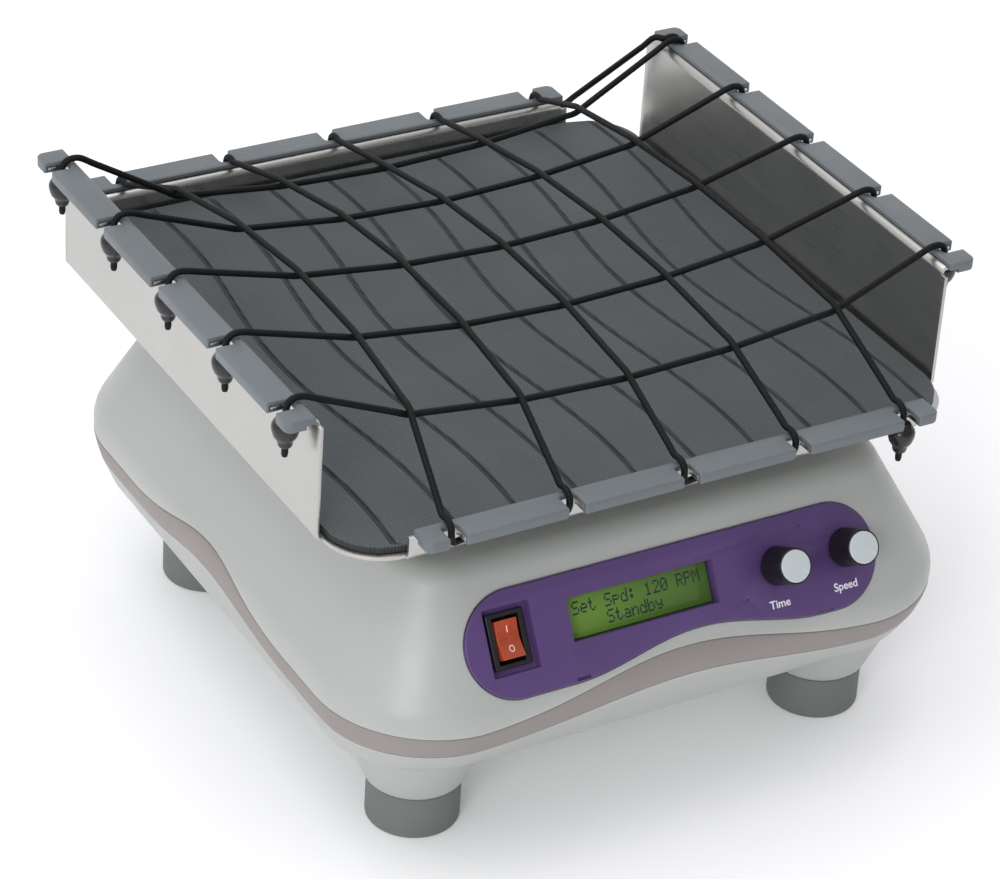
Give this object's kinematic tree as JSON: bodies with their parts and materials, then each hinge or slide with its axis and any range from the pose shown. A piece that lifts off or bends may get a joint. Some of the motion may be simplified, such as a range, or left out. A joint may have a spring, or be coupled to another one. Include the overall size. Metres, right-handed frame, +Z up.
{
  "type": "laboratory orbital shaker",
  "caption": "Bench-top laboratory orbital shaker: open steel tray with a ribbed mat and elastic cord net over a moulded housing with a display and rotary controls.",
  "frame": {"origin": "on the floor under the feet, at the middle of the object's footprint", "axes": "+Z up, -Y out of the control panel, +X to the right of someone facing the control panel"},
  "size_m": [0.3086, 0.325, 0.1961],
  "materials": {
    "housing_plastic": "satin, very fine grain",
    "band_plastic": "satin",
    "foot_rubber": "matt",
    "rail_plastic": "satin",
    "mat_rubber": "matt, fine moulded ribs",
    "stainless_sheet": "brushed",
    "cord_elastic": "braided",
    "stopper_rubber": "smooth",
    "panel_plastic": "semi-gloss",
    "dark_plastic": "satin",
    "cap_plastic": "satin",
    "rocker_plastic": "translucent, gloss",
    "display_green": "gloss, backlit",
    "board_laminate": "solder mask",
    "cast_alloy": "as cast",
    "machined_steel": "turned",
    "motor_steel": "plated",
    "belt_rubber": "matt"
  },
  "bodies": {
    "base": {"upper_shell": "housing_plastic", "lower_shell": "housing_plastic", "trim_band": "band_plastic", "foot_front_left": "foot_rubber", "foot_front_right": "foot_rubber", "foot_back_left": "foot_rubber", "foot_back_right": "foot_rubber", "base_plate": "stainless_sheet", "control_panel": "panel_plastic", "display_glass": "display_green", "display_module": "board_laminate", "switch_body": "dark_plastic", "encoder_time": "machined_steel", "encoder_speed": "machined_steel", "control_board": "board_laminate", "power_inlet": "dark_plastic", "bearing_frame": "cast_alloy", "motor": "motor_steel", "drive_belt": "belt_rubber"},
    "crank": {"drive_crank": "machined_steel", "counterweight": "machined_steel"},
    "platform": {"carrier": "cast_alloy", "tray": "stainless_sheet", "mat": "mat_rubber", "rail_right": "rail_plastic", "rail_back": "rail_plastic", "rail_left": "rail_plastic", "rail_front": "rail_plastic", "cord_across_1": "cord_elastic", "cord_across_2": "cord_elastic", "cord_across_3": "cord_elastic", "cord_across_4": "cord_elastic", "cord_along_1_2": "cord_elastic", "cord_along_3_4": "cord_elastic", "cord_corner": "cord_elastic", "stopper_left_1": "stopper_rubber", "stopper_left_2": "stopper_rubber", "stopper_left_3": "stopper_rubber", "stopper_left_4": "stopper_rubber", "stopper_left_5": "stopper_rubber", "stopper_right_1": "stopper_rubber", "stopper_right_2": "stopper_rubber", "stopper_right_3": "stopper_rubber", "stopper_right_4": "stopper_rubber", "stopper_back_1": "stopper_rubber", "stopper_back_2": "stopper_rubber", "stopper_back_3": "stopper_rubber", "stopper_back_4": "stopper_rubber", "stopper_front_5": "stopper_rubber"},
    "idler_1": {"idler_crank_1": "machined_steel"},
    "idler_2": {"idler_crank_2": "machined_steel"},
    "idler_3": {"idler_crank_3": "machined_steel"},
    "motor_rotor": {"motor_pulley": "cast_alloy"},
    "rocker": {"switch_rocker": "rocker_plastic"},
    "time_control": {"knob_time": "dark_plastic", "knob_cap_time": "cap_plastic"},
    "speed_control": {"knob_speed": "dark_plastic", "knob_cap_speed": "cap_plastic"}
  },
  "joints": [
    {"name": "crank_spin", "type": "hinge", "parent": "base", "child": "crank", "pos_m": [-0.00198, -0.00114, 0.1], "axis": [0, 0, 1], "continuous": true},
    {"name": "platform_orbit", "type": "hinge", "parent": "crank", "child": "platform", "pos_m": [0, 0.00815, 0.12], "axis": [0, 0, 1], "continuous": true},
    {"name": "idler_1_spin", "type": "hinge", "parent": "base", "child": "idler_1", "pos_m": [-0.00198, 0.07386, 0.1], "axis": [0, 0, 1], "continuous": true},
    {"name": "idler_2_spin", "type": "hinge", "parent": "base", "child": "idler_2", "pos_m": [-0.06693, -0.03864, 0.1], "axis": [0, 0, 1], "continuous": true},
    {"name": "idler_3_spin", "type": "hinge", "parent": "base", "child": "idler_3", "pos_m": [0.06298, -0.03864, 0.1], "axis": [0, 0, 1], "continuous": true},
    {"name": "motor_spin", "type": "hinge", "parent": "base", "child": "motor_rotor", "pos_m": [0.06783, 0.03916, 0.09], "axis": [0, 0, 1], "continuous": true},
    {"name": "switch_rock", "type": "hinge", "parent": "base", "child": "rocker", "pos_m": [-0.07618, -0.14343, 0.09795], "axis": [1, 0, 0], "range_deg": [0, 16]},
    {"name": "time_turn", "type": "hinge", "parent": "base", "child": "time_control", "pos_m": [0.04392, -0.14518, 0.09911], "axis": [0, -0.8575, 0.5145], "continuous": true},
    {"name": "speed_turn", "type": "hinge", "parent": "base", "child": "speed_control", "pos_m": [0.07583, -0.14518, 0.09911], "axis": [0, -0.8575, 0.5145], "continuous": true}
  ],
  "couplings": [
    {"joint": "platform_orbit", "follows": "crank_spin", "ratio": -1},
    {"joint": "idler_1_spin", "follows": "crank_spin", "ratio": 1},
    {"joint": "idler_2_spin", "follows": "crank_spin", "ratio": 1},
    {"joint": "idler_3_spin", "follows": "crank_spin", "ratio": 1},
    {"joint": "motor_spin", "follows": "crank_spin", "ratio": 3.5}
  ]
}
